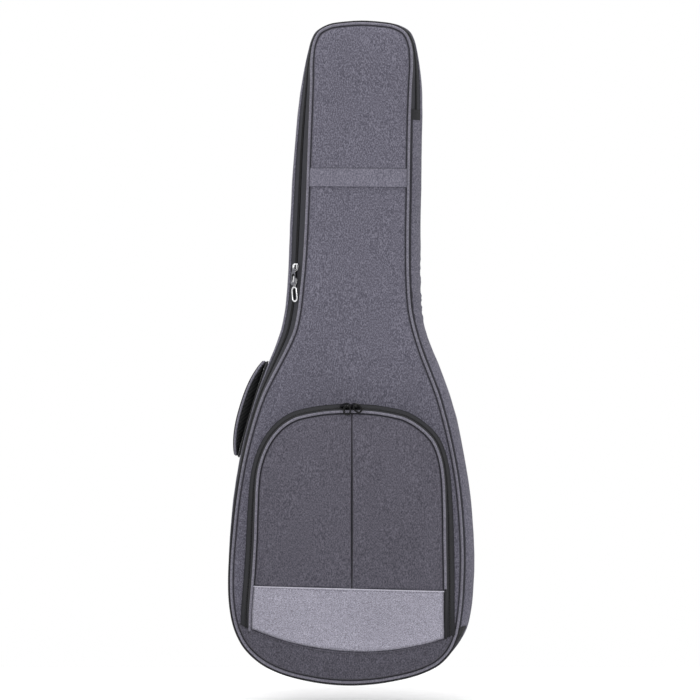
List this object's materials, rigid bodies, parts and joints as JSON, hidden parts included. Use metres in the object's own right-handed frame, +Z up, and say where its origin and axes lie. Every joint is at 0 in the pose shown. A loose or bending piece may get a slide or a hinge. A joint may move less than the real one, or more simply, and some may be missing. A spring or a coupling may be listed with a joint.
{
  "type": "padded gig bag",
  "caption": "Soft padded guitar bag with a zipped front cover, an arched zip pocket, a side handle, shoulder straps and a hanging loop.",
  "frame": {"origin": "just under the top of the webbing hanging loop on the back of the neck, where a hook bears", "axes": "+Z up along the bag towards the headstock end, +Y towards the back, the front cover facing -Y, +X to the right as seen from the front"},
  "size_m": [0.3951, 0.1513, 1.0653],
  "materials": {
    "heather": "grey melange woven polyester, matt",
    "heather_dark": "darker grey melange woven polyester, matt",
    "heather_light": "light grey melange woven polyester, matt",
    "scuff_cloth": "dark grey coated woven polyester, matt",
    "piping": "grey woven tape over a round core",
    "zip_tape": "black woven polyester tape",
    "zip_coil": "black nylon coil",
    "foam": "closed-cell foam",
    "plush": "short black plush",
    "webbing": "black woven webbing",
    "nickel": "polished nickel plate",
    "black_metal": "black coated zinc",
    "buckle_plastic": "black acetal"
  },
  "bodies": {
    "shell": {"back_lining": "plush", "back_padding": "foam", "back_panel": "heather", "back_piping": "piping", "end_bumper": "plush", "gusset_lining": "plush", "gusset_padding_foot": "foam", "gusset_padding_left_lower": "foam", "gusset_padding_left_upper": "foam", "gusset_padding_right_lower": "foam", "gusset_padding_right_upper": "foam", "gusset_padding_top": "foam", "gusset_panel": "heather", "handle_anchor_lower": "webbing", "handle_anchor_upper": "webbing", "hang_loop": "webbing", "headstock_pad": "plush", "hinge_gusset": "heather", "main_zip_coil_rear": "zip_coil", "main_zip_tape_rear": "zip_tape", "neck_cradle": "plush", "neck_strap": "webbing", "neck_strap_patch": "webbing", "shoulder_strap_left": "heather", "shoulder_strap_right": "heather", "strap_buckle_left": "buckle_plastic", "strap_buckle_right": "buckle_plastic", "strap_tab_left": "heather_dark", "strap_tab_right": "heather_dark", "strap_webbing_left": "webbing", "strap_webbing_right": "webbing", "strap_yoke": "heather_dark"},
    "front_cover": {"front_panel": "heather", "front_padding": "foam", "front_lining": "plush", "front_piping": "piping", "main_zip_tape_front": "zip_tape", "main_zip_coil_front": "zip_coil", "neck_band": "heather", "scuff_panel": "scuff_cloth", "pocket_zip_tape_outer": "zip_tape", "pocket_zip_coil_outer": "zip_coil"},
    "pocket_flap": {"pocket_panel_left": "heather_dark", "pocket_panel_right": "heather_dark", "pocket_pleat": "heather_dark", "pocket_piping": "piping", "accent_band": "heather_light", "pocket_zip_tape_inner": "zip_tape", "pocket_zip_coil_inner": "zip_coil"},
    "main_slider_upper": {"main_slider_upper": "nickel"},
    "main_pull_plate": {"main_pull_plate": "nickel"},
    "main_slider_lower": {"main_slider_lower": "nickel"},
    "main_pull_loop": {"main_pull_loop": "nickel"},
    "pocket_slider_left": {"pocket_slider_left": "black_metal"},
    "pocket_pull_left": {"pocket_pull_left": "black_metal"},
    "pocket_slider_right": {"pocket_slider_right": "black_metal"},
    "pocket_pull_right": {"pocket_pull_right": "black_metal"},
    "side_handle": {"side_handle_cover": "heather", "side_handle_lining": "webbing"}
  },
  "joints": [
    {"name": "cover_hinge", "type": "hinge", "parent": "shell", "child": "front_cover", "pos_m": [0.0835, -0.1085, -0.007], "axis": [-0.1059, 0, 0.9944], "range_deg": [0, 160]},
    {"name": "pocket_flap_hinge", "type": "hinge", "parent": "front_cover", "child": "pocket_flap", "pos_m": [-0.018, -0.11, -0.961], "axis": [1, 0, 0], "range_deg": [0, 70]},
    {"name": "main_slider_upper_slide", "type": "slide", "parent": "front_cover", "child": "main_slider_upper", "axis": [0.0445, 0, 0.999], "range_m": [0, 0.12]},
    {"name": "main_slider_lower_slide", "type": "slide", "parent": "front_cover", "child": "main_slider_lower", "axis": [-0.0445, 0, -0.999], "range_m": [0, 0.012]},
    {"name": "main_pull_plate_hinge", "type": "hinge", "parent": "main_slider_upper", "child": "main_pull_plate", "pos_m": [-0.10947, -0.0964, -0.35778], "axis": [-0.7357, 0.6766, 0.0328], "range_deg": [0, 150]},
    {"name": "main_pull_loop_hinge", "type": "hinge", "parent": "main_slider_lower", "child": "main_pull_loop", "pos_m": [-0.10935, -0.09493, -0.38532], "axis": [-0.7357, 0.6766, 0.0328], "range_deg": [0, 110]},
    {"name": "pocket_slider_left_slide", "type": "slide", "parent": "pocket_flap", "child": "pocket_slider_left", "axis": [-0.996, 0, -0.0898], "range_m": [0, 0.05]},
    {"name": "pocket_slider_right_slide", "type": "slide", "parent": "pocket_flap", "child": "pocket_slider_right", "axis": [0.9947, 0, -0.1033], "range_m": [0, 0.05]},
    {"name": "pocket_pull_left_hinge", "type": "hinge", "parent": "pocket_slider_left", "child": "pocket_pull_left", "pos_m": [-0.02411, -0.1372, -0.574], "axis": [-1, 0, 0], "range_deg": [0, 150]},
    {"name": "pocket_pull_right_hinge", "type": "hinge", "parent": "pocket_slider_right", "child": "pocket_pull_right", "pos_m": [-0.00688, -0.1372, -0.574], "axis": [-1, 0, 0], "range_deg": [0, 150]},
    {"name": "side_handle_swing", "type": "hinge", "parent": "shell", "child": "side_handle", "pos_m": [-0.1724, -0.058, -0.58065], "axis": [0.2907, 0, 0.9568], "range_deg": [-3, 15]}
  ]
}
